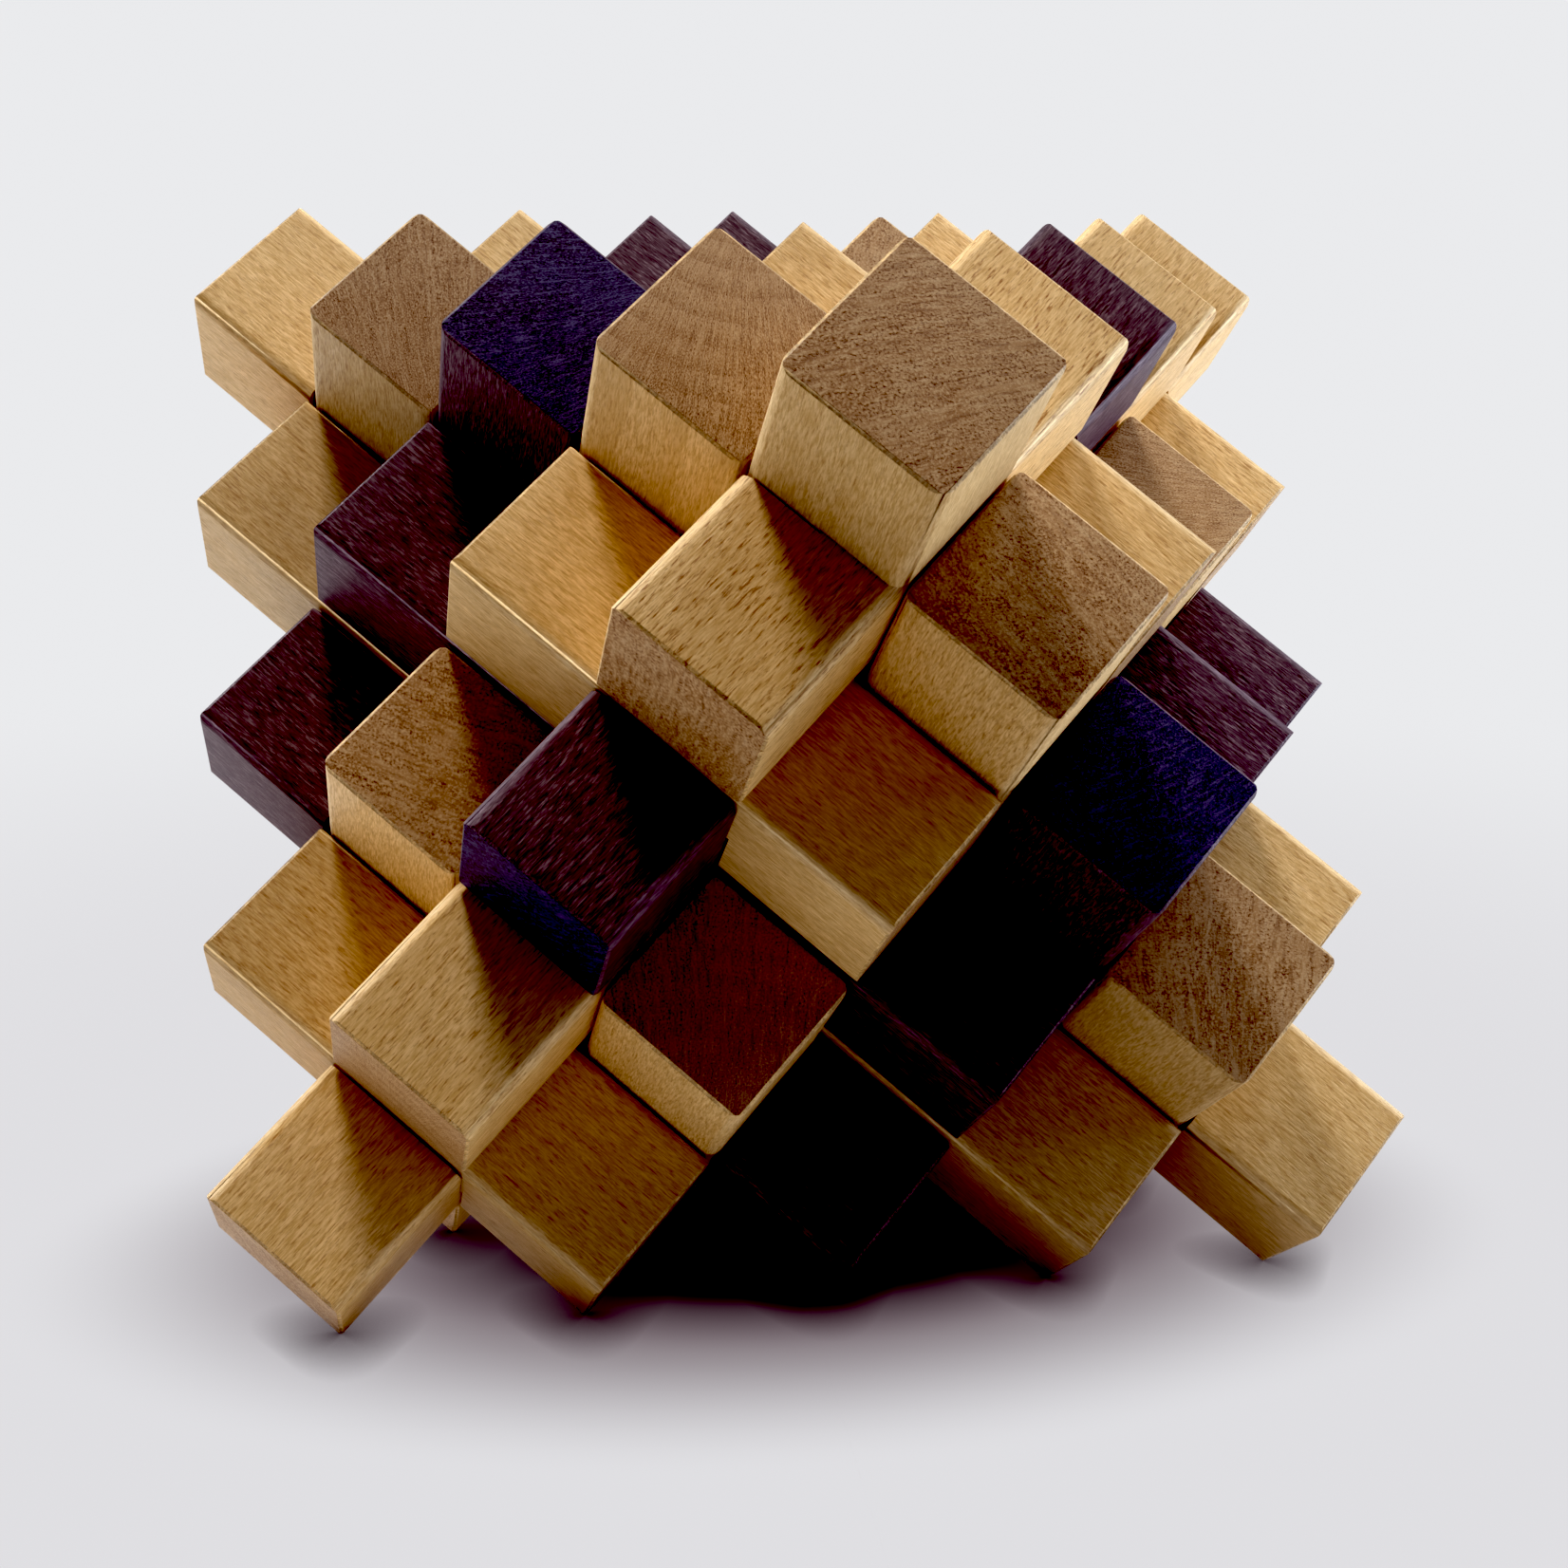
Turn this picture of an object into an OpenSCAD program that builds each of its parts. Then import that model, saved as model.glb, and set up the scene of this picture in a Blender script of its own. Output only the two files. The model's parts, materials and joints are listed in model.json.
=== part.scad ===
/*
    Interlocking wooden burr puzzle, solved: 33 square sticks in three families that cross at right angles.

    The sticks lie on a cubic lattice. Their ends step down by one cell from row to row, so that together
    they fill a stepped octahedron. Wherever two sticks cross they are halved into each other, and one stick,
    the key, is notched so that it slides straight out along its length and frees the others.

    Lattice axes: u runs along the rails, v along the crossbars and w along the uprights. The puzzle stands on
    one face of the octahedron, so all three families lean. The origin is under the middle of the puzzle, on
    the surface that it stands on, and +Z is up.
*/

/* [Sticks] */
// Width and depth of every square stick
stick_side = 12; // [9:0.5:20]
// Play between two sticks that lie side by side or cross
play = 0.15; // [0.05:0.01:0.4]
// Width of the chamfer along a stick's four long edges, measured on one face
edge_chamfer = 0.6; // [0.2:0.05:1]
// Width of the chamfer round a stick's two sawn ends, measured on one face
end_chamfer = 0.2; // [0.1:0.05:2]

/* [Colours] */
// Wood of the sticks that are three, seven or nine cells long
light_wood = "tan"; // [tan, burlywood, wheat, goldenrod]
// Wood of the sticks that are five cells long
dark_wood = "#3b2530"; // ["#3b2530", "#2b1b16", "#4a3426"]

/* [Hidden] */
// Cells from the middle of the puzzle to each of its six points
REACH = 4;
// A whole cell, the unit that the lattice positions are given in
CELL = [1, 1, 1];
// Directions of the three families in the lattice
U = [1, 0, 0];
V = [0, 1, 0];
W = [0, 0, 1];

pitch = stick_side + play;
// How far the chamfers cut a corner back, added up over the three lattice directions
corner_cut = max(edge_chamfer, edge_chamfer / 2 + end_chamfer);
// Height of the puzzle's middle above the tips that it stands on, which lie along u - v - w
middle_height = ((REACH + 1.5) * pitch - 1.5 * play - corner_cut) / sqrt(3);

// Words for the two sides of a family, with their signs
DEPTHS = [["back", 1], ["front", -1]];
HEIGHTS = [["upper", 1], ["lower", -1]];
SIDES = [["left", -1], ["right", 1]];

// Every stick as a name and its middle cell
RAILS = [
    ["rail_centre", [0, 0, 0]],
    for (d = DEPTHS) for (n = [1:REACH - 1]) [str("rail_", d[0], "_", n), n * d[1] * V],
    for (h = HEIGHTS) for (d = DEPTHS) for (n = [1:2])
        [str("rail_", h[0], "_", d[0], "_", n), d[1] * V + n * h[1] * W]
];
CROSSBARS = [
    ["crossbar_centre", [0, 0, 0]],
    for (h = HEIGHTS) for (n = [1:REACH - 1]) [str("crossbar_", h[0], "_", n), n * h[1] * W]
];
KEY = ["key_stick", U];
UPRIGHTS = [
    ["upright_centre", [0, 0, 0]],
    for (s = SIDES) for (n = [1:REACH - 1]) if (n * s[1] * U != KEY[1])
        [str("upright_", s[0], "_", n), n * s[1] * U],
    for (d = DEPTHS) for (s = SIDES) [str("upright_", d[0], "_", s[0]), s[1] * U + 2 * d[1] * V]
];

function absolute(v) = [for (x = v) abs(x)];
function sum(v) = v * CELL;
// Cells from a stick's middle to its last one, from the cell that its middle is in
function half_run(middle) = REACH - sum(absolute(middle));

// Turns the lattice onto the face that the puzzle stands on
module standing() {
    multmatrix([
        concat((U + V) / sqrt(2), 0),
        concat((V - U - 2 * W) / sqrt(6), 0),
        concat((V - U + W) / sqrt(3), middle_height)
    ]) children();
}

// A rectangle with its corners cut off
module chamfered_rectangle(size, cut) {
    half = size / 2;
    polygon([
        for (s = [[1, 1], [-1, 1], [-1, -1], [1, -1]])
            for (first = [s[0] * s[1] > 0, s[0] * s[1] < 0])
                [s[0] * (half[0] - (first ? 0 : cut)), s[1] * (half[1] - (first ? cut : 0))]
    ]);
}

// A block with all twelve edges chamfered, made from its three outlines. The outline seen along the stick
// cuts its long edges, and the other two cut its ends.
module chamfered_block(size, direction) {
    cuts = [for (along = direction) along == 1 ? edge_chamfer : end_chamfer];
    intersection() {
        linear_extrude(size[2], center = true)
            chamfered_rectangle([size[0], size[1]], cuts[2]);
        rotate([90, 0, 0]) linear_extrude(size[1], center = true)
            chamfered_rectangle([size[0], size[2]], cuts[1]);
        rotate([0, 90, 0]) linear_extrude(size[0], center = true)
            chamfered_rectangle([size[2], size[1]], cuts[0]);
    }
}

// A whole stick along one lattice direction, before it is notched
module blank(direction, middle) {
    cells = CELL + 2 * half_run(middle) * direction;
    translate(pitch * middle) chamfered_block(pitch * cells - play * CELL, direction);
}

// The space that a crossing stick needs: half of each cell from first to last, on the given side
module lap(first, last, side) {
    cells = last - first + CELL - absolute(side) / 2;
    translate(pitch * ((first + last) / 2 + side / 4)) cube(pitch * cells + play * CELL, center = true);
}

// The sticks of five cells are dark, and all the others light
module wood(middle) {
    color(half_run(middle) == 2 ? dark_wood : light_wood) children();
}

// A stick along u. It is halved over the crossbar at its middle, and a rail in the third row from the
// middle also laps the two uprights beside it.
module rail(middle) {
    height = middle * W;
    over = height < 0 ? W : -W;
    wood(middle) difference() {
        blank(U, middle);
        lap(middle, middle, over);
        if (middle == [0, 0, 0]) lap((1 - REACH) * U, (REACH - 1) * U, -V);
        if (abs(middle * V) == 2) for (side = [U, -U]) lap(middle + side, middle + side, middle / 2);
    }
}

// A stick along v, halved under the rails and round the middle upright
module crossbar(middle) {
    level = middle * W;
    wood(middle) difference() {
        blank(V, middle);
        lap(middle, middle, -U);
        if (level == 0) {
            lap((1 - REACH) * V, (REACH - 1) * V, W);
        } else if (abs(level) < REACH - 1) {
            for (side = [V, -V]) lap(middle + side, middle + side, level / abs(level) * W);
        }
    }
}

// A stick along w, halved beside the rail that it crosses
module upright(middle) {
    depth = middle * V;
    wood(middle) difference() {
        blank(W, middle);
        lap(middle, middle, depth > 0 ? -V : V);
        if (middle == [0, 0, 0]) lap((1 - REACH) * W, (REACH - 1) * W, U);
    }
}

// The stick that comes out first: its notch runs on to its lower end, so nothing holds it but its weight
module key_stick() {
    middle = KEY[1];
    wood(middle) difference() {
        blank(W, middle);
        lap(middle - half_run(middle) * W, middle, V);
    }
}

for (s = RAILS) standing() rail(s[1]);
for (s = CROSSBARS) standing() crossbar(s[1]);
for (s = UPRIGHTS) standing() upright(s[1]);
standing() key_stick();
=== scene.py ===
"""Solved wooden burr puzzle: 33 rounded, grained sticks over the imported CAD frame."""

import json
import math
import random

import bmesh
import bpy
from mathutils import Matrix, Vector

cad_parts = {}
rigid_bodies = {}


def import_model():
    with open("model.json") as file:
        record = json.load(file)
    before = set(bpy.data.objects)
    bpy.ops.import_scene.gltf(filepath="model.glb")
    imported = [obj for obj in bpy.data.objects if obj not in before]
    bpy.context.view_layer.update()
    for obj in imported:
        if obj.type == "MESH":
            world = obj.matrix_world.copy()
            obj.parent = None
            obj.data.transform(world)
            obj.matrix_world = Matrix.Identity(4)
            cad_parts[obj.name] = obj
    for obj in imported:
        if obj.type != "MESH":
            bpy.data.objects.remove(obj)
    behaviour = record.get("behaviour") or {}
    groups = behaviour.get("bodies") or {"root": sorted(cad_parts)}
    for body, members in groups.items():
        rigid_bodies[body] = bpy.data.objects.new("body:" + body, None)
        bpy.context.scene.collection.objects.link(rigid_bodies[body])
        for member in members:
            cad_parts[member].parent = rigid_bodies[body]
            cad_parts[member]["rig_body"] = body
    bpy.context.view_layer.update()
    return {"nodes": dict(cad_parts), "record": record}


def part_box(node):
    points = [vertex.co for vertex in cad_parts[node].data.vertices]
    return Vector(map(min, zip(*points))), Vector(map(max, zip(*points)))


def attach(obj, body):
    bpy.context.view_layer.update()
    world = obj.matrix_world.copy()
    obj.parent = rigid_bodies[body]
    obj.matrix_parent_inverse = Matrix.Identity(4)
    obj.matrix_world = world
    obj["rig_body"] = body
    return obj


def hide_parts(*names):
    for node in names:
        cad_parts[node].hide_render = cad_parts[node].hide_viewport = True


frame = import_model()

MM = 0.001

# The lattice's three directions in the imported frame: rails run along U, crossbars along V, uprights along W.
U = Vector((1 / math.sqrt(2), -1 / math.sqrt(6), -1 / math.sqrt(3)))
V = Vector((1 / math.sqrt(2), 1 / math.sqrt(6), 1 / math.sqrt(3)))
W = Vector((0, -2 / math.sqrt(6), 1 / math.sqrt(3)))
GRAIN = {"rail": U, "crossbar": V, "upright": W, "key": W}


def box_middle(node):
    lowest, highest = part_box(node)
    return (lowest + highest) / 2


# The frame gives the puzzle's middle and the distance from one lattice cell to the next.
MIDDLE = box_middle("crossbar_centre")
PITCH = (box_middle("rail_back_1") - box_middle("rail_front_1")).length / 2


def in_cells(point):
    """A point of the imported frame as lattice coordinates, counted in cells from the puzzle's middle."""
    offset = (Vector(point) - MIDDLE) / PITCH
    return Vector((offset.dot(U), offset.dot(V), offset.dot(W)))


def from_cells(cells):
    return MIDDLE + PITCH * (cells[0] * U + cells[1] * V + cells[2] * W)


# ---------------------------------------------------------------- sticks

# Rounding of the chamfers, in millimetres: the long edges are sanded round, by an amount between these two,
# and the sawn ends stay almost sharp.
LONG_EDGE_ROUNDING = (0.26, 0.41)
END_ROUNDING = 0.05
ROUNDING_STEPS = 3
# Points closer than this are one point.
WELD = 0.001 * MM
# Faces that meet flatter than this are one face.
FLAT_ANGLE = math.radians(1)
# Where a chamfer meets a face of its stick, the surface bends outwards by an angle between these two. Edges
# that bend more are shaded sharp.
OUTER_ANGLE = math.radians(20)
SHARP_ANGLE = math.radians(50)
# Cosine of the largest angle between an edge and the direction that it still runs along.
ALIGNED = 0.99

# The range of each trait over the sticks: how strong the rings and the flecks are, how far off the heart of
# the tree lies in millimetres, and how pale the stick is.
RING_STRENGTH = (0.15, 0.5)
FLECK_STRENGTH = (0.35, 0.6)
PITH_DISTANCE = (22, 60)
STICK_TONE = (0.94, 1.05)
# Length of the log that the sticks are cut from, in millimetres.
LOG_LENGTH = 400

# Sticks that differ from the rest in one trait or more. The turn of the section is in degrees. Some tones
# are painted light and shade: rail_front_3 is darker as painted shade, and crossbar_upper_1 and
# crossbar_upper_3 are paler as painted light.
FIGURED = {
    "upright_left_1": {"rings": 1.0, "pith": 15, "turn": 150},
    "crossbar_upper_3": {"flecks": 0.9, "turn": 92, "tone": 1.12},
    "crossbar_upper_1": {"rings": 0.9, "flecks": 0.7, "pith": 7, "turn": 95, "tone": 1.1},
    "rail_front_1": {"tone": 0.86},
    "rail_front_3": {"tone": 0.8},
    "upright_left_3": {"tone": 0.74},
    "upright_right_3": {"tone": 0.88},
}


def stick_style(name):
    """The wood figure of one stick: seeded by its name, so it is the same on every run."""
    chance = random.Random(name)
    style = {
        "rings": chance.uniform(*RING_STRENGTH),
        "flecks": chance.uniform(*FLECK_STRENGTH),
        "pith": chance.uniform(*PITH_DISTANCE),
        "turn": chance.uniform(0, 360),
        "tone": chance.uniform(*STICK_TONE),
        "start": chance.uniform(0, LOG_LENGTH),
    }
    style.update(FIGURED.get(name, {}))
    return style


def rounded_mesh(name, source, along):
    """The CAD stick with its triangles merged and its chamfers rounded over. Inner corners stay crisp."""
    bm = bmesh.new()
    bm.from_mesh(source.data)
    bmesh.ops.remove_doubles(bm, verts=bm.verts, dist=WELD)
    bmesh.ops.dissolve_limit(bm, angle_limit=FLAT_ANGLE, verts=bm.verts, edges=bm.edges)
    long_rounding = random.Random(name).uniform(*LONG_EDGE_ROUNDING) * MM
    for rounding, on_long_edges in ((long_rounding, True), (END_ROUNDING * MM, False)):
        edges = [e for e in bm.edges if is_outer_chamfer(e) and runs_along(e, along) == on_long_edges]
        bmesh.ops.bevel(bm, geom=edges, offset=rounding, segments=ROUNDING_STEPS, profile=0.5,
                        affect="EDGES", clamp_overlap=not on_long_edges, loop_slide=True)
        bmesh.ops.remove_doubles(bm, verts=bm.verts, dist=WELD)
    mesh = bpy.data.meshes.new(name)
    bm.to_mesh(mesh)
    bm.free()
    mesh.shade_smooth()
    mesh.set_sharp_from_angle(angle=SHARP_ANGLE)
    return mesh


def is_outer_chamfer(edge):
    """True for an edge between a chamfer and a face of the stick, where the surface bends outwards."""
    return edge.is_manifold and OUTER_ANGLE < edge.calc_face_angle_signed() < SHARP_ANGLE


def runs_along(edge, direction):
    step = edge.verts[1].co - edge.verts[0].co
    return abs(step.normalized().dot(direction)) > ALIGNED


def paint_grain(mesh, name):
    """Stores what the woods read: place in the log, end grain, long edges, and the stick's own traits."""
    along = GRAIN[name.split("_")[0]]
    across = V if along != V else U
    deep = along.cross(across)
    style = stick_style(name)
    turn = Matrix.Rotation(math.radians(style["turn"]), 2)
    middle = from_cells([round(c) for c in in_cells(box_middle(name))])
    place = mesh.attributes.new("grain", "FLOAT_VECTOR", "POINT")
    for vertex, value in zip(mesh.vertices, place.data):
        offset = (vertex.co - middle) / MM
        section = turn @ Vector((offset.dot(across), offset.dot(deep)))
        value.vector = (section.x + style["pith"], section.y, offset.dot(along) + style["start"])
    end = mesh.attributes.new("end_grain", "FLOAT", "FACE")
    worn_and_highlight = mesh.attributes.new("long_edge", "FLOAT", "FACE")
    for face, end_value, worn_and_highlight_value in zip(mesh.polygons, end.data, worn_and_highlight.data):
        end_value.value = abs(face.normal.dot(along))
        worn_and_highlight_value.value = 2 * abs(face.normal.dot(across) * face.normal.dot(deep))
    for trait in ("rings", "flecks", "tone"):
        values = mesh.attributes.new(trait, "FLOAT", "POINT")
        for value in values.data:
            value.value = style[trait]


# ---------------------------------------------------------------- materials

# How many marks of each kind go to a millimetre: across the grain both ways, and along it.
CLOUDS = (0.2, 0.2, 0.1)
WAVER = (0.1, 0.1, 0.035)
FIBRES = (7.5, 7.5, 0.75)
DASHES = (6.0, 6.0, 0.9)
RAGGED = (1.4, 1.4, 1.4)
# The same for marks that follow the rings: out from the heart, round it, and along the grain.
GRIT = (6.2, 9.5, 0.8)
RAYS = (0.2, 3.6, 0.6)
STREAKS = (0.6, 5.5, 0.3)

# How far at most the waver pushes rings and fibres aside, in millimetres.
WAVER_WIDTH = (1.6, 1.6, 1.6)
RINGS_PER_MM = 0.55
# Distance from the heart, in millimetres, at which the rays have their full width.
RAY_RADIUS = 30
# How strongly the marks show: late wood on the sides, rays and streaks on the sawn ends, and wear with a
# painted highlight on the long edges.
LATE_WOOD_ON_SIDES = 0.45
RAY_STRENGTH = 0.7
STREAK_STRENGTH = 0.45
WEAR_AND_HIGHLIGHT = 0.2
# How much darker and paler the clouds make the wood, and how much smoother and rougher the fibres make it.
CLOUD_TONE = (0.86, 1.14)
SMOOTHER = 0.08
ROUGHER = 0.1
# Depth of the pores and the fibres, in metres, and how strongly they catch the light.
RELIEF_DEPTH = 0.06 * MM
RELIEF_STRENGTH = 0.35


class Shader:
    """A material's node tree, with short calls for the nodes that the woods are made of."""

    def __init__(self, name):
        self.material = bpy.data.materials.new(name)
        self.material.use_nodes = True
        self.tree = self.material.node_tree
        self.surface = self.tree.nodes["Principled BSDF"]

    def node(self, kind, inputs=None, **settings):
        made = self.tree.nodes.new(kind)
        for setting, value in settings.items():
            setattr(made, setting, value)
        for socket, value in (inputs or {}).items():
            self.plug(made.inputs[socket], value)
        return made

    def plug(self, socket, value):
        if isinstance(value, bpy.types.NodeSocket):
            self.tree.links.new(value, socket)
        else:
            socket.default_value = value

    def math(self, operation, first, second=0.0):
        return self.node("ShaderNodeMath", {0: first, 1: second}, operation=operation).outputs[0]

    def times(self, first, second):
        return self.math("MULTIPLY", first, second)

    def stretch(self, vector, scale):
        made = self.node("ShaderNodeVectorMath", {0: vector, 1: scale}, operation="MULTIPLY")
        return made.outputs[0]

    def noise(self, place, marks, detail=2.0, roughness=0.5, output="Fac"):
        """Cloudy values, with so many marks to a unit of place along each of its axes."""
        stretched = self.stretch(place, marks)
        inputs = {"Vector": stretched, "Scale": 1.0, "Detail": detail, "Roughness": roughness}
        return self.node("ShaderNodeTexNoise", inputs).outputs[output]

    def ramp(self, value, low, high):
        """0 at low and 1 at high, smooth in between. It falls where low is the larger one."""
        inputs = {"Value": value, "From Min": low, "From Max": high}
        return self.node("ShaderNodeMapRange", inputs, interpolation_type="SMOOTHSTEP").outputs[0]

    def between(self, value, low, high):
        """low where value is 0, and high where it is 1."""
        return self.node("ShaderNodeMapRange", {"Value": value, "To Min": low, "To Max": high}).outputs[0]

    def mix(self, factor, first, second):
        made = self.node("ShaderNodeMix", data_type="RGBA")
        self.plug(made.inputs["Factor"], factor)
        self.plug(made.inputs["A"], first)
        self.plug(made.inputs["B"], second)
        return made.outputs["Result"]

    def attribute(self, name, output="Fac"):
        return self.node("ShaderNodeAttribute", attribute_name=name).outputs[output]


def rgb(red, green, blue):
    """A colour given as 0 to 255 display values, as the linear colour that a shader takes."""
    def linear(value):
        value /= 255
        return value / 12.92 if value <= 0.04045 else ((value + 0.055) / 1.055) ** 2.4
    return (linear(red), linear(green), linear(blue), 1.0)


def wood(name, side, side_deep, dash, end, end_deep, pore, ray, worn_and_highlight, rim_shade, roughness, gloss):
    """A solid wood: growth rings and rays round the heart, fibres and dashes drawn out along the grain."""
    shader = Shader(name)
    place = shader.attribute("grain", "Vector")
    facing = shader.attribute("end_grain")
    end_grain = shader.ramp(facing, 0.75, 0.9)
    clouds = shader.noise(place, CLOUDS)

    # Slow waver, so that rings and fibres are never ruler straight.
    waver = shader.noise(place, WAVER, detail=1.0, output="Color")
    bent = shader.node("ShaderNodeVectorMath", {0: waver, 1: WAVER_WIDTH, 2: place},
                       operation="MULTIPLY_ADD").outputs[0]
    section = shader.node("ShaderNodeSeparateXYZ", {0: bent}).outputs
    angle = shader.math("ARCTAN2", section["Y"], section["X"])
    x_squared = shader.times(section["X"], section["X"])
    y_squared = shader.times(section["Y"], section["Y"])
    radius = shader.math("SQRT", shader.math("ADD", x_squared, y_squared))
    round_heart = shader.node("ShaderNodeCombineXYZ", {"X": radius, "Y": shader.times(angle, RAY_RADIUS),
                                                       "Z": section["Z"]}).outputs[0]

    # Growth rings darken towards their late wood and end in a step.
    ring = shader.math("FRACT", shader.times(radius, RINGS_PER_MM))
    late_wood = shader.times(shader.ramp(ring, 0.3, 1.0), shader.attribute("rings"))
    fibres = shader.noise(bent, FIBRES, detail=3.0, roughness=0.75)
    dashes = shader.noise(bent, DASHES, detail=3.0, roughness=0.65)
    grit = shader.noise(round_heart, GRIT, roughness=0.6)
    rays = shader.noise(round_heart, RAYS, detail=1.0)
    streaks = shader.noise(round_heart, STREAKS, roughness=0.6)
    dash_marks = shader.times(shader.ramp(dashes, 0.5, 0.7), shader.attribute("flecks"))
    pore_marks = shader.times(shader.ramp(grit, 0.48, 0.72), shader.ramp(rays, 0.25, 0.6))

    side_colour = shader.mix(shader.ramp(fibres, 0.33, 0.67), side, side_deep)
    side_colour = shader.mix(shader.times(late_wood, LATE_WOOD_ON_SIDES), side_colour, side_deep)
    side_colour = shader.mix(dash_marks, side_colour, dash)
    end_colour = shader.mix(shader.ramp(clouds, 0.35, 0.7), end, end_deep)
    end_colour = shader.mix(late_wood, end_colour, end_deep)
    end_colour = shader.mix(shader.times(shader.ramp(grit, 0.52, 0.32), RAY_STRENGTH), end_colour, ray)
    end_colour = shader.mix(pore_marks, end_colour, pore)
    end_colour = shader.mix(shader.times(shader.ramp(streaks, 0.46, 0.32), STREAK_STRENGTH), end_colour, ray)
    end_colour = shader.mix(shader.times(shader.ramp(streaks, 0.54, 0.7), STREAK_STRENGTH), end_colour, pore)

    # The rims of the sawn ends change tone in ragged patches, darker on the light wood and paler on the dark
    # wood, and the long edges are paler, partly rubbed by wear and partly as a painted highlight.
    rim = shader.math("SUBTRACT", shader.ramp(facing, 0.4, 0.6), end_grain)
    ragged = shader.noise(place, RAGGED, detail=3.0, roughness=0.65)
    rim_tone = shader.between(shader.times(rim, shader.ramp(ragged, 0.38, 0.58)), 1.0, rim_shade)
    long_edge = shader.ramp(shader.attribute("long_edge"), 0.3, 1.0)
    # The long edges are painted paler: partly wear, partly a painted highlight where light catches them.
    rubbed_and_highlight = shader.times(long_edge, shader.ramp(clouds, 0.3, 0.6))
    side_colour = shader.mix(shader.times(rubbed_and_highlight, WEAR_AND_HIGHLIGHT), side_colour, worn_and_highlight)
    cloud_tone = shader.between(clouds, *CLOUD_TONE)
    tone = shader.times(shader.times(rim_tone, cloud_tone), shader.attribute("tone"))
    colour = shader.mix(end_grain, side_colour, end_colour)
    colour = shader.node("ShaderNodeVectorMath", {0: colour, "Scale": tone}, operation="SCALE").outputs[0]
    shader.plug(shader.surface.inputs["Base Color"], colour)

    rough = shader.between(fibres, roughness - SMOOTHER, roughness + ROUGHER)
    shader.plug(shader.surface.inputs["Roughness"], rough)
    shader.plug(shader.surface.inputs["Specular IOR Level"], gloss)
    relief = shader.math("SUBTRACT", fibres, pore_marks)
    bump_inputs = {"Height": relief, "Strength": RELIEF_STRENGTH, "Distance": RELIEF_DEPTH}
    bump = shader.node("ShaderNodeBump", bump_inputs)
    shader.plug(shader.surface.inputs["Normal"], bump.outputs[0])
    return shader.material


LIGHT_WOOD = wood("light_wood", side=rgb(236, 205, 153), side_deep=rgb(200, 164, 110), dash=rgb(136, 88, 42),
                  end=rgb(182, 149, 110), end_deep=rgb(158, 124, 86), pore=rgb(94, 60, 34),
                  ray=rgb(206, 178, 140), worn_and_highlight=rgb(238, 214, 176), rim_shade=0.62, roughness=0.55, gloss=0.4)
DARK_WOOD = wood("dark_wood", side=rgb(100, 87, 95), side_deep=rgb(52, 46, 52), dash=rgb(164, 146, 156),
                 end=rgb(38, 52, 80), end_deep=rgb(26, 34, 56), pore=rgb(12, 12, 24), ray=rgb(92, 97, 136),
                 worn_and_highlight=rgb(126, 106, 116), rim_shade=1.3, roughness=0.52, gloss=0.25)


# ---------------------------------------------------------------- the sticks in their places

def build_sticks():
    """One grained piece over every CAD stick."""
    slots = {part["node"]: part["material_slot"] for part in frame["record"]["subparts"]}
    for name, node in frame["nodes"].items():
        mesh = rounded_mesh(name + "_wood", node, GRAIN[name.split("_")[0]])
        paint_grain(mesh, name)
        stick = bpy.data.objects.new(name + "_wood", mesh)
        bpy.context.scene.collection.objects.link(stick)
        mesh.materials.append(DARK_WOOD if slots[name] == "dark_wood" else LIGHT_WOOD)
        weighting = stick.modifiers.new("flat faces", "WEIGHTED_NORMAL")
        weighting.keep_sharp = True
        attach(stick, node["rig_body"])
        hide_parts(name)


build_sticks()


# ---------------------------------------------------------------- camera

SENSOR = 36.0
FOCAL_LENGTH = 52.95
# Nothing nearer to the camera than this is drawn, in metres.
NEAR_CLIP = 0.005
# Where the camera stands, in cells from the puzzle's middle, which way it looks, and which way is down in
# its picture, both as steps along U, V and W.
CAMERA_CELLS = (1.855, -5.543, 13.447)
LOOK_ALONG = (-0.1075, 0.3634, -0.9254)
DOWN_ALONG = (0.6365, -0.6898, -0.3449)


def lattice_direction(steps):
    return (steps[0] * U + steps[1] * V + steps[2] * W).normalized()


def build_camera():
    data = bpy.data.cameras.new("camera")
    data.sensor_width = SENSOR
    data.lens = FOCAL_LENGTH
    data.clip_start = NEAR_CLIP
    camera = bpy.data.objects.new("camera", data)
    bpy.context.scene.collection.objects.link(camera)
    back = -lattice_direction(LOOK_ALONG)
    right = (-lattice_direction(DOWN_ALONG)).cross(back).normalized()
    up = back.cross(right)
    turn = Matrix((right, up, back)).transposed()
    camera.matrix_world = Matrix.Translation(from_cells(CAMERA_CELLS)) @ turn.to_4x4()
    bpy.context.scene.camera = camera


build_camera()


# ---------------------------------------------------------------- floor, light and tone

FLOOR_RADIUS = 2.5
FLOOR_SIDES = 128
FLOOR_ROUGHNESS = 0.6
FLOOR_GLOSS = 0.2
# The floor's tone beside the puzzle and in the distance, where it meets the background without a horizon.
NEAR_FLOOR = rgb(225, 225, 228)
BACKGROUND = rgb(235, 236, 238)
# How far from the puzzle's middle the floor's tone begins and ends to change, in metres.
FLOOR_CHANGE = (0.06, 0.2)
# The colour in which the floor throws light back at the puzzle, in general and in front of it, where it is
# painted dark as the shade of someone who stands in the light, where along Y the one gives way to the other,
# and how much nearer the front that lies for every metre sideways.
FLOOR_BOUNCE = (0.83, 0.83, 0.85, 1)
PAINTED_FRONT_SHADE = (0.03, 0.03, 0.03, 1)
FRONT_FALLOFF = (-0.11, -0.06)
FRONT_NARROWING = 0.5
# How far away a piece still darkens the floor under it, in metres, and how deep that contact shadow is.
SHADOW_REACH = 0.004
SHADOW_DEPTH = 1.1
SHADOW_SAMPLES = 16
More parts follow.
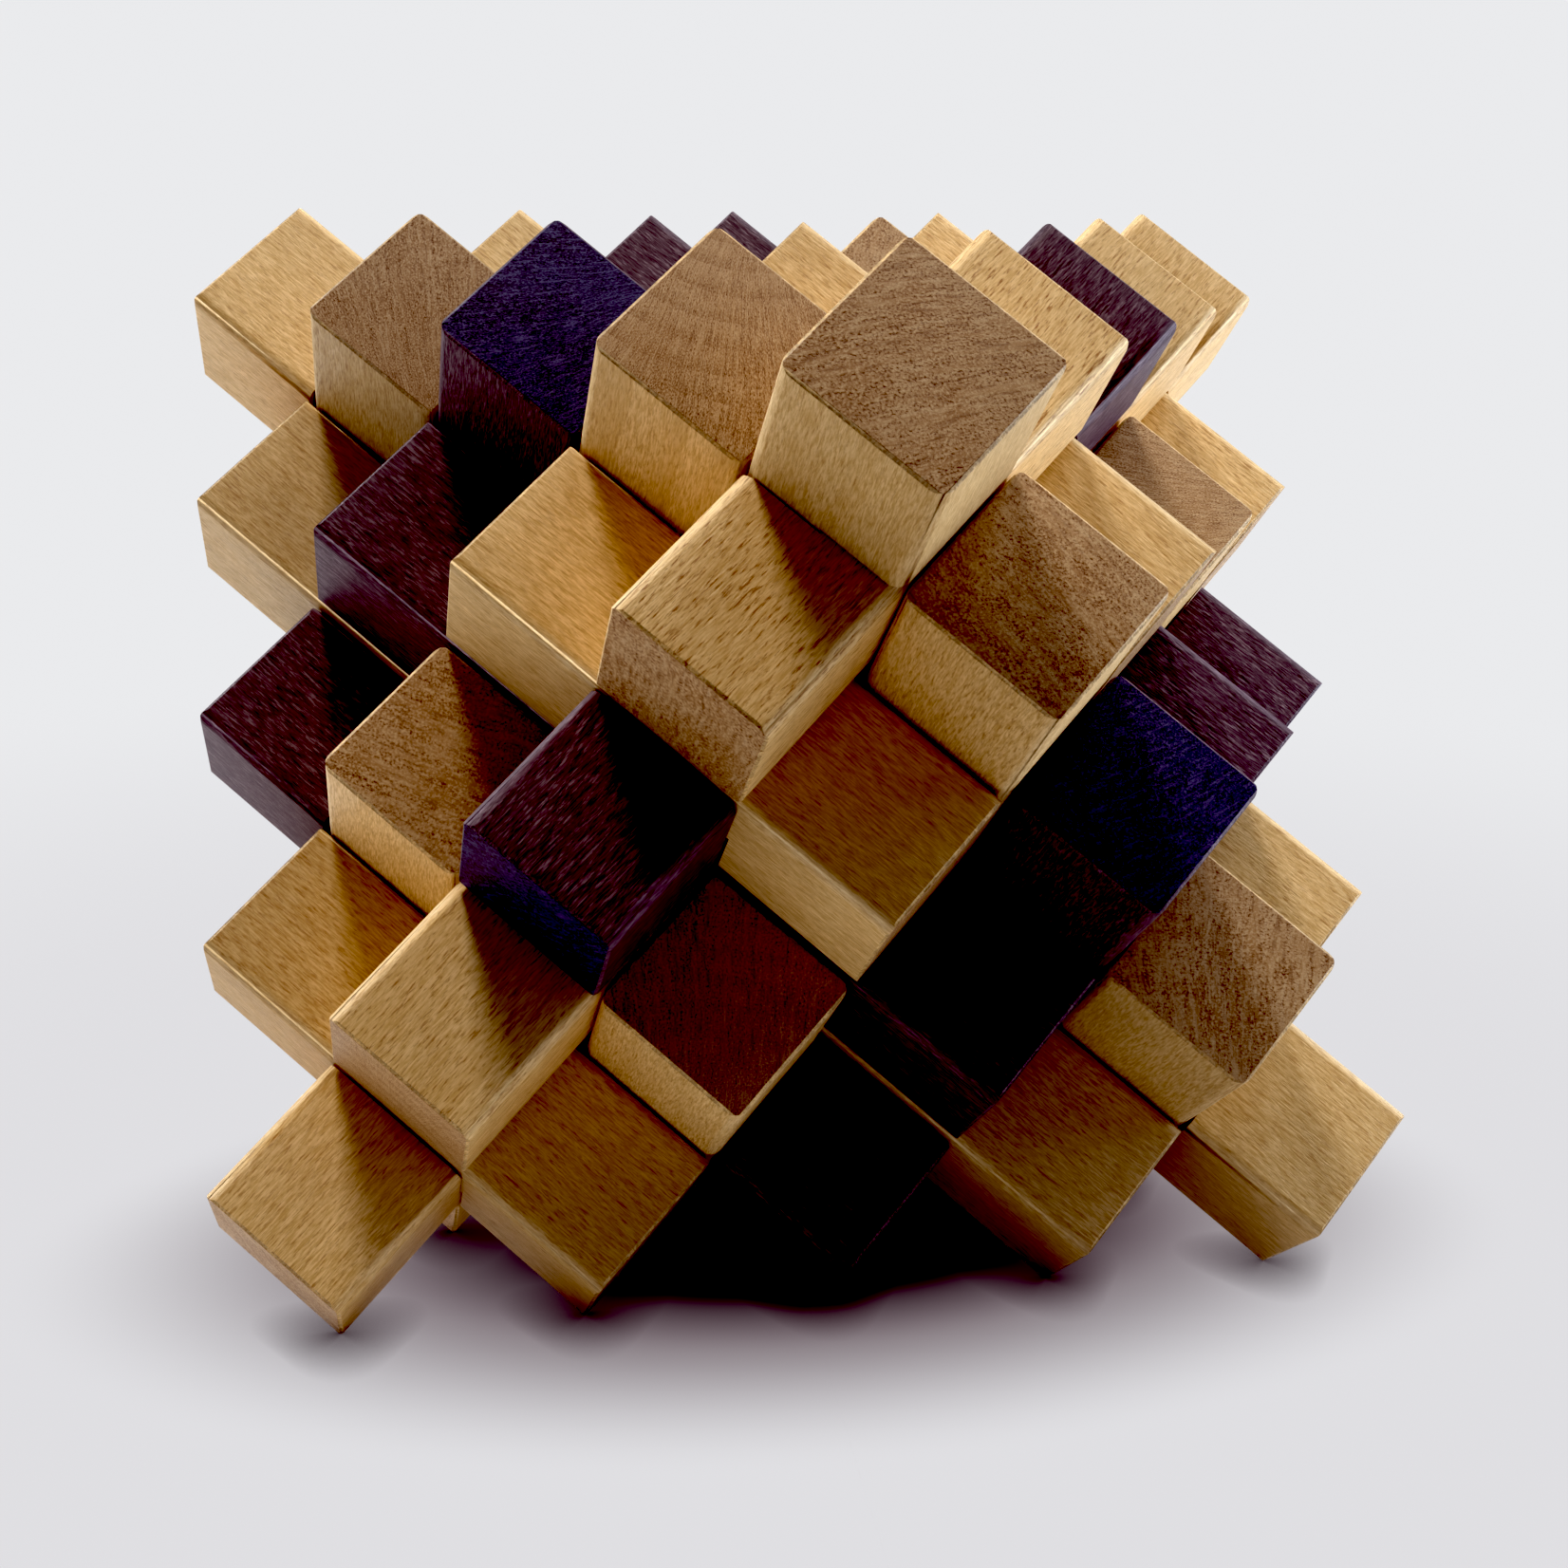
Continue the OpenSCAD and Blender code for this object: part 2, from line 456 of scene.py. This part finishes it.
# The soft shadow that the puzzle stands in: how far in front of the middle it lies, in metres, how much it
# is stretched sideways, how far from its own middle its core and its edge begin and end to fade, in metres,
# and their colours.
SHADOW_FORWARD = 0.008
SHADOW_STRETCH = 1.7
SHADOW_CORE = (0.01, 0.02)
SHADOW_EDGE = (0.015, 0.035)
SHADOW_EDGE_COLOUR = rgb(134, 127, 131)
SHADOW_CORE_COLOUR = rgb(40, 42, 44)


def build_floor():
    """A plain pale disc. It bounces the light, and the camera sees it evenly lit, with a soft shadow."""
    bm = bmesh.new()
    bmesh.ops.create_circle(bm, cap_ends=True, segments=FLOOR_SIDES, radius=FLOOR_RADIUS)
    mesh = bpy.data.meshes.new("floor")
    bm.to_mesh(mesh)
    bm.free()
    floor = bpy.data.objects.new("floor", mesh)
    bpy.context.scene.collection.objects.link(floor)
    shader = Shader("floor")
    place = shader.node("ShaderNodeTexCoord").outputs["Object"]
    part = shader.node("ShaderNodeSeparateXYZ", {0: place}).outputs
    aside = shader.math("ABSOLUTE", shader.times(part["X"], FRONT_NARROWING))
    # Painted shade: in front of the puzzle the floor is painted dark, so it throws little light back.
    lit = shader.ramp(shader.math("ADD", part["Y"], aside), *FRONT_FALLOFF)
    shader.plug(shader.surface.inputs["Base Color"], shader.mix(lit, PAINTED_FRONT_SHADE, FLOOR_BOUNCE))
    shader.plug(shader.surface.inputs["Roughness"], FLOOR_ROUGHNESS)
    shader.plug(shader.surface.inputs["Specular IOR Level"], FLOOR_GLOSS)
    reach = shader.node("ShaderNodeVectorMath", {0: place}, operation="LENGTH").outputs["Value"]
    tone = shader.mix(shader.ramp(reach, *FLOOR_CHANGE), NEAR_FLOOR, BACKGROUND)
    forward = shader.node("ShaderNodeVectorMath", {0: place, 1: (0, SHADOW_FORWARD, 0)}).outputs[0]
    spread = shader.node("ShaderNodeVectorMath", {0: shader.stretch(forward, (1 / SHADOW_STRETCH, 1, 1))},
                         operation="LENGTH").outputs["Value"]
    tone = shader.mix(shader.ramp(spread, *SHADOW_EDGE), SHADOW_EDGE_COLOUR, tone)
    tone = shader.mix(shader.ramp(spread, *SHADOW_CORE), SHADOW_CORE_COLOUR, tone)
    contact = shader.node("ShaderNodeAmbientOcclusion", {"Distance": SHADOW_REACH}, samples=SHADOW_SAMPLES)
    open_sky = contact.outputs["AO"]
    light = shader.math("POWER", open_sky, SHADOW_DEPTH)
    shown = shader.node("ShaderNodeEmission", {"Color": tone, "Strength": light}).outputs[0]
    seen = shader.node("ShaderNodeLightPath").outputs["Is Camera Ray"]
    both = shader.node("ShaderNodeMixShader", {0: seen, 1: shader.surface.outputs[0], 2: shown}).outputs[0]
    shader.plug(shader.tree.nodes["Material Output"].inputs["Surface"], both)
    mesh.materials.append(shader.material)


def build_light(name, azimuth, elevation, distance, size, power, colour=(1, 1, 1)):
    """A round softbox aimed at the puzzle. Azimuth 0 is behind the puzzle, and 90 is at its right."""
    data = bpy.data.lights.new(name, "AREA")
    data.shape = "DISK"
    data.size = size
    data.energy = power
    data.color = colour
    light = bpy.data.objects.new(name, data)
    bpy.context.scene.collection.objects.link(light)
    turn, rise = math.radians(azimuth), math.radians(elevation)
    outwards = Vector((math.sin(turn) * math.cos(rise), math.cos(turn) * math.cos(rise), math.sin(rise)))
    light.location = MIDDLE + distance * outwards
    light.rotation_euler = (-outwards).to_track_quat("-Z", "Y").to_euler()


# The faint light that comes from everywhere.
SKY_COLOUR = (0.9, 0.95, 1.0, 1)
SKY_STRENGTH = 0.03


def build_world():
    """Pale to the camera, dimmer as a source of light, so that the studio lights set the shading."""
    world = bpy.data.worlds.new("studio")
    world.use_nodes = True
    tree = world.node_tree
    shown = tree.nodes["Background"]
    shown.inputs["Color"].default_value = BACKGROUND
    lighting = tree.nodes.new("ShaderNodeBackground")
    lighting.inputs["Color"].default_value = SKY_COLOUR
    lighting.inputs["Strength"].default_value = SKY_STRENGTH
    mix = tree.nodes.new("ShaderNodeMixShader")
    path = tree.nodes.new("ShaderNodeLightPath")
    tree.links.new(path.outputs["Is Camera Ray"], mix.inputs[0])
    tree.links.new(lighting.outputs[0], mix.inputs[1])
    tree.links.new(shown.outputs[0], mix.inputs[2])
    tree.links.new(mix.outputs[0], tree.nodes["World Output"].inputs["Surface"])
    bpy.context.scene.world = world


# What red, green and blue lose of their depths. Green and blue lose more, so shaded wood turns rust red.
BLACK_LEVEL = (0.043, 0.062, 0.057)


def set_tone():
    """Deep, saturated shadows and clean whites, as in a brightly lit product shot."""
    view = bpy.context.scene.view_settings
    view.view_transform = "Standard"
    view.look = "None"
    view.use_curve_mapping = True
    view.curve_mapping.black_level = BLACK_LEVEL
    view.curve_mapping.update()


# Distance and width, in metres, of the broad lights that stand for lit walls, and of the small ones.
WALL = {"distance": 0.55, "size": 0.35}
LAMP = {"distance": 0.5, "size": 0.12}

build_floor()
build_light("left_window", azimuth=300, elevation=34, power=2.4, colour=(0.95, 0.98, 1), **LAMP)
build_light("back_wall", azimuth=0, elevation=40, power=0.25, **WALL)
build_light("back_glow", azimuth=0, elevation=12, power=0.15, **WALL)
build_light("back_right_wall", azimuth=45, elevation=40, power=0.4, **WALL)
build_light("right_wall", azimuth=90, elevation=40, power=0.67, **WALL)
build_light("right_window", azimuth=90, elevation=65, power=1.11, colour=(0.9, 0.95, 1), **WALL)
build_light("right_glow", azimuth=90, elevation=5, power=2.4, colour=(0.76, 0.86, 1), distance=0.5, size=0.2)
build_light("overhead", azimuth=240, elevation=80, power=1.42, colour=(1, 0.91, 0.82), **LAMP)
build_world()
set_tone()
